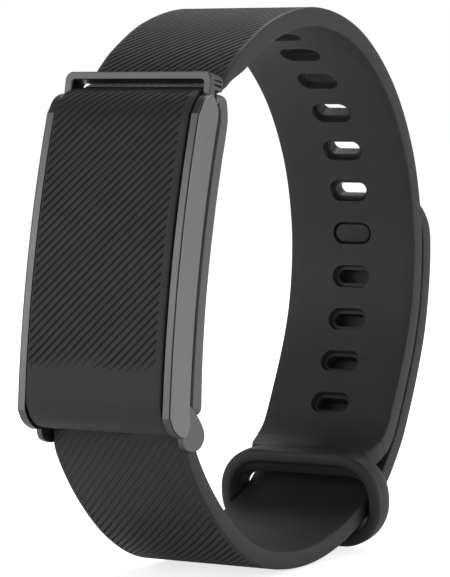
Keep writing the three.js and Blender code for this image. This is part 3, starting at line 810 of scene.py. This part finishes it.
def pod_shell():
    ends = [1 - math.cos(math.radians(a)) for a in END_ANGLES]
    steps = [SHELL_LOW + END_R_LOW * k for k in ends]
    steps += list(np.linspace(SHELL_LOW + END_R_LOW, MIDDLE_TOP, MIDDLE_STEPS))[1:]
    steps += NECK_STEPS
    steps += [SHELL_HIGH - END_R_HIGH * k for k in reversed(ends)]
    rows = []
    for z in steps:
        cut = end_cut(z)
        hw = SHELL_HW - cut * SIDE_SHARE
        front, back = shell_front(z) + cut * FRONT_SHARE, shell_back(z) - cut * BACK_SHARE
        r = min(BACK_R, (back - front) * 0.48)
        q = FRONT_R
        loop = (quarter(hw - r, back - r, r, 0, 8) + quarter(-hw + r, back - r, r, 90, 8)
                + quarter(-hw + q, front + q, q, 180, 3) + quarter(hw - q, front + q, q, 270, 3))
        rows.append([(x, *pod_to_band(y, z)) for x, y in loop])
    o = new_obj("pod_shell", *tube_rows(rows), MATS["shell"], angle=40)
    for x in (-CONTACT_X, CONTACT_X):
        pocket = [[(px, *pod_to_band(depth, pz)) for px, pz in circle(x, CONTACT_Z, CONTACT_R, 12)]
                  for depth in POCKET_DEPTH]
        boolean(o, new_obj("pocket", *tube_rows(pocket), MATS["shell"]), "DIFFERENCE")
    smooth(o, 40)
    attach(o, "sensor_pod")
    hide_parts("pod_tray")


def painted_gap_shade():
    """A thin dark strip of painted shade just proud of the pod's sides, standing in for the shadow
    in the gap behind the rails.
    """
    pts = (arc_line(GAP_SHADE_FRONT_R, -14.9, 17.2, 20) + GAP_SHADE_TOP
           + arc_line(GAP_SHADE_BACK_R, 17.3, -14.9, 20))
    for side, word in SIDES:
        verts, faces = plate(pts, *GAP_SHADE_X, 0.01)
        o = new_obj(f"painted_gap_shade_{word}", verts if side > 0 else mirrored(verts), faces,
                    MATS["seam_and_gap_shade"])
        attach(o, "sensor_pod")


# ---- stage, light, camera ----------------------------------------------------------------
FLOOR_HALF, FLOOR_Z = 2, -0.0002          # metres
FLOOR_GLOW, FLOOR_GLOW_SEEN = 0.1, 0.65   # emission, and what is added for camera rays
SKY = ((0.0, 0.8), (0.3, 0.72), (0.6, 0.45), (0.72, 0.12), (1.0, 0.2))   # (height, level)
MID = (0, 0, 0.033)
LIGHTS = (("key", (-0.45, -0.5, 0.16), (0.3, 0.35), 0.66),
          ("side", (0.5, 0.25, 0.12), (0.3, 0.4), 0.66),
          ("top", (-0.05, 0.25, 0.5), (0.3, 0.3), 1.6))
CAMERA_AT, CAMERA_AIM = (0.18121, -0.31464, 0.05634), (-0.50293, 0.86184, -0.06552)
LENS, SENSOR, CLIP_START = 191.1, 36.0, 0.01


def backdrop():
    h, z = FLOOR_HALF, FLOOR_Z
    me = bpy.data.meshes.new("floor")
    me.from_pydata([(-h, -h, z), (h, -h, z), (h, h, z), (-h, h, z)], [], [(0, 1, 2, 3)])
    o = bpy.data.objects.new("floor", me)
    bpy.context.scene.collection.objects.link(o)
    m = bpy.data.materials.new("backdrop")
    m.use_nodes = True
    nodes, link = m.node_tree.nodes, m.node_tree.links.new
    shader = nodes["Principled BSDF"]
    shader.inputs["Base Color"].default_value = (0.93, 0.93, 0.93, 1)
    shader.inputs["Roughness"].default_value = 0.9
    shader.inputs["Emission Color"].default_value = (1, 1, 1, 1)
    seen = nodes.new("ShaderNodeLightPath")
    glow = nodes.new("ShaderNodeMath")
    glow.operation = "MULTIPLY_ADD"
    glow.inputs[1].default_value = FLOOR_GLOW_SEEN
    glow.inputs[2].default_value = FLOOR_GLOW
    link(seen.outputs["Is Camera Ray"], glow.inputs[0])
    link(glow.outputs[0], shader.inputs["Emission Strength"])
    o.data.materials.append(m)


def studio_world():
    """A sky that is bright below and dim above, and plain white where the camera sees it."""
    world = bpy.data.worlds.new("studio")
    bpy.context.scene.world = world
    world.use_nodes = True
    nodes, link = world.node_tree.nodes, world.node_tree.links.new
    background = nodes["Background"]
    coords = nodes.new("ShaderNodeTexCoord")
    split = nodes.new("ShaderNodeSeparateXYZ")
    link(coords.outputs["Generated"], split.inputs["Vector"])
    sky = nodes.new("ShaderNodeValToRGB")
    stops = sky.color_ramp.elements
    for i, (where, level) in enumerate(SKY):
        stop = stops[i] if i < 2 else stops.new(where)
        stop.position = where
        stop.color = (level, level, level, 1)
    link(split.outputs["Z"], sky.inputs["Fac"])
    seen = nodes.new("ShaderNodeLightPath")
    mix = nodes.new("ShaderNodeMix")
    mix.data_type = "RGBA"
    link(seen.outputs["Is Camera Ray"], mix.inputs[0])
    link(sky.outputs["Color"], mix.inputs[6])
    mix.inputs[7].default_value = (1.0, 1.0, 1.0, 1)
    link(mix.outputs[2], background.inputs["Color"])
    background.inputs["Strength"].default_value = 1.0
    bpy.context.scene.view_settings.view_transform = "Standard"


def area_light(name, loc, size, power):
    light = bpy.data.lights.new(name, "AREA")
    light.shape = "RECTANGLE"
    light.size, light.size_y = size
    light.energy = power
    o = bpy.data.objects.new(name, light)
    o.location = loc
    o.rotation_euler = (Vector(MID) - Vector(loc)).to_track_quat("-Z", "Y").to_euler()
    bpy.context.scene.collection.objects.link(o)


def camera():
    data = bpy.data.cameras.new("cam")
    data.lens = LENS
    data.sensor_width = SENSOR
    data.clip_start = CLIP_START
    cam = bpy.data.objects.new("cam", data)
    bpy.context.scene.collection.objects.link(cam)
    cam.location = CAMERA_AT
    cam.rotation_euler = Vector(CAMERA_AIM).to_track_quat("-Z", "Y").to_euler()
    bpy.context.scene.camera = cam


holed_strap()
lower_strap()
strap_tail()
stud_head()
keeper()
rails()
top_loop()
face_pad()
pod_shell()
painted_gap_shade()
backdrop()
studio_world()
for light in LIGHTS:
    area_light(*light)
camera()
